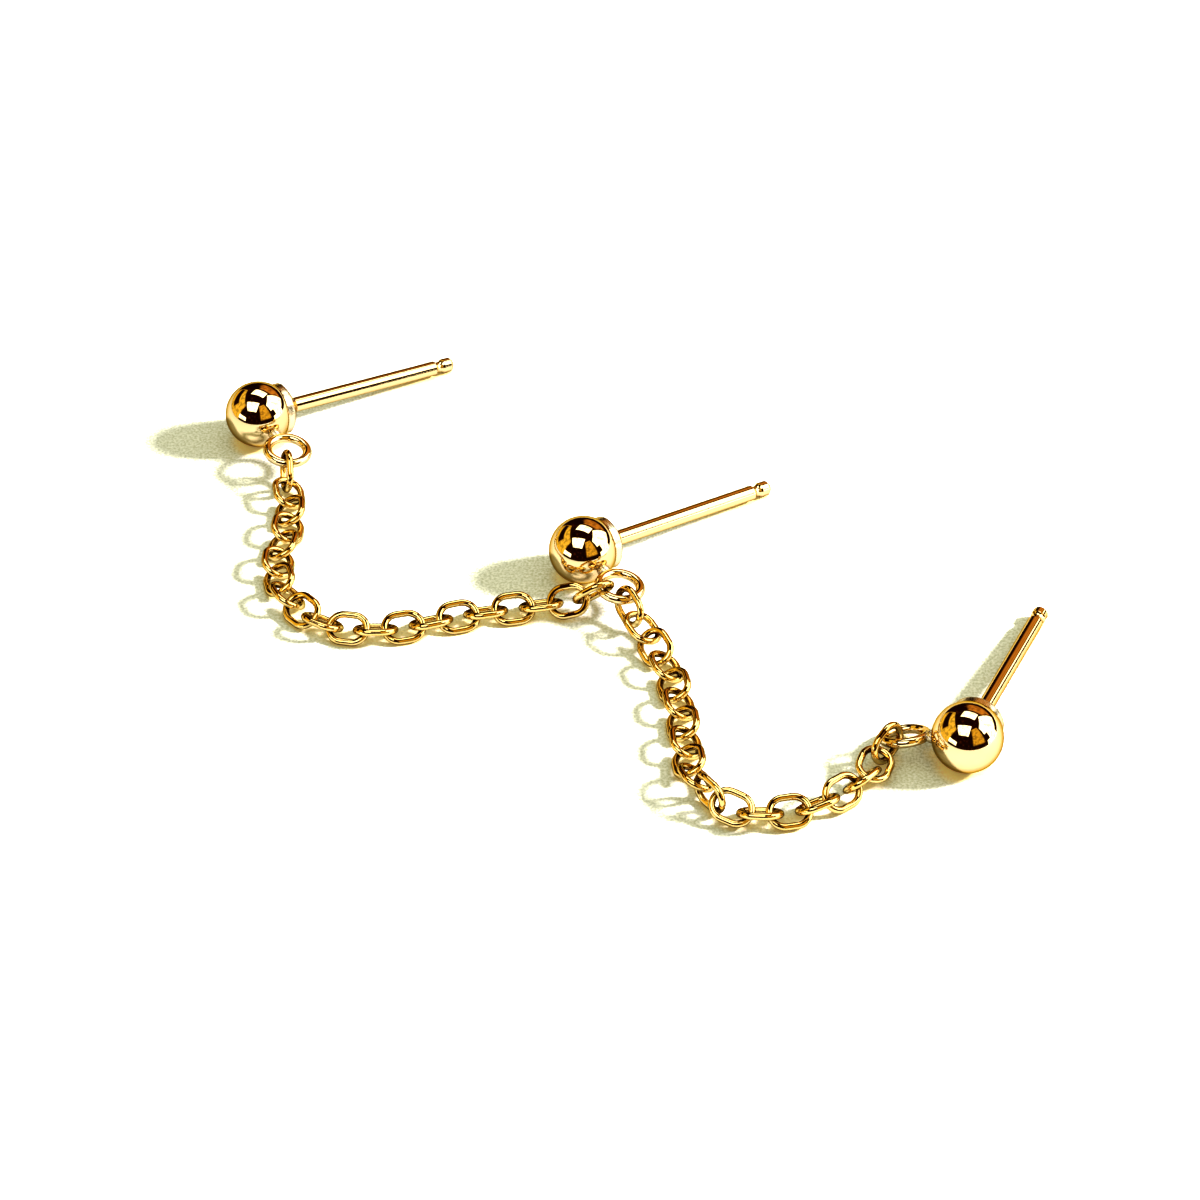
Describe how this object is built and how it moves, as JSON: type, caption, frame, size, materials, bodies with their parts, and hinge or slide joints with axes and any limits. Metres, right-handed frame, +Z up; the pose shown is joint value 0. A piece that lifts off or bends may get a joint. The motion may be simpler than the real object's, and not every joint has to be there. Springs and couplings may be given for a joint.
{
  "type": "ear chain earring",
  "caption": "Ear chain earring: ball studs on straight posts, joined by two fine cable chains that hang from soldered rings, lying on a table.",
  "frame": {"origin": "middle of the footprint, on the table that the earring lies on", "axes": "+Z up from the table, +X along the longest side, from the left stud to the right one; the posts point away, mostly towards +Y"},
  "size_m": [0.0486, 0.0425, 0.004],
  "materials": {
    "stud_gold": "mirror-polished yellow gold",
    "chain_gold": "polished yellow gold wire"
  },
  "bodies": {
    "root": {"stud_left": "stud_gold", "stud_middle": "stud_gold", "stud_right": "stud_gold", "left_link_01": "chain_gold", "left_link_02": "chain_gold", "left_link_03": "chain_gold", "left_link_04": "chain_gold", "left_link_05": "chain_gold", "left_link_06": "chain_gold", "left_link_07": "chain_gold", "left_link_08": "chain_gold", "left_link_09": "chain_gold", "left_link_10": "chain_gold", "left_link_11": "chain_gold", "left_link_12": "chain_gold", "left_link_13": "chain_gold", "left_link_14": "chain_gold", "left_link_15": "chain_gold", "left_link_16": "chain_gold", "left_link_17": "chain_gold", "left_link_18": "chain_gold", "left_link_19": "chain_gold", "left_link_20": "chain_gold", "right_link_01": "chain_gold", "right_link_02": "chain_gold", "right_link_03": "chain_gold", "right_link_04": "chain_gold", "right_link_05": "chain_gold", "right_link_06": "chain_gold", "right_link_07": "chain_gold", "right_link_08": "chain_gold", "right_link_09": "chain_gold", "right_link_10": "chain_gold", "right_link_11": "chain_gold", "right_link_12": "chain_gold", "right_link_13": "chain_gold", "right_link_14": "chain_gold", "right_link_15": "chain_gold", "right_link_16": "chain_gold", "right_link_17": "chain_gold", "right_link_18": "chain_gold", "right_link_19": "chain_gold"}
  },
  "joints": []
}
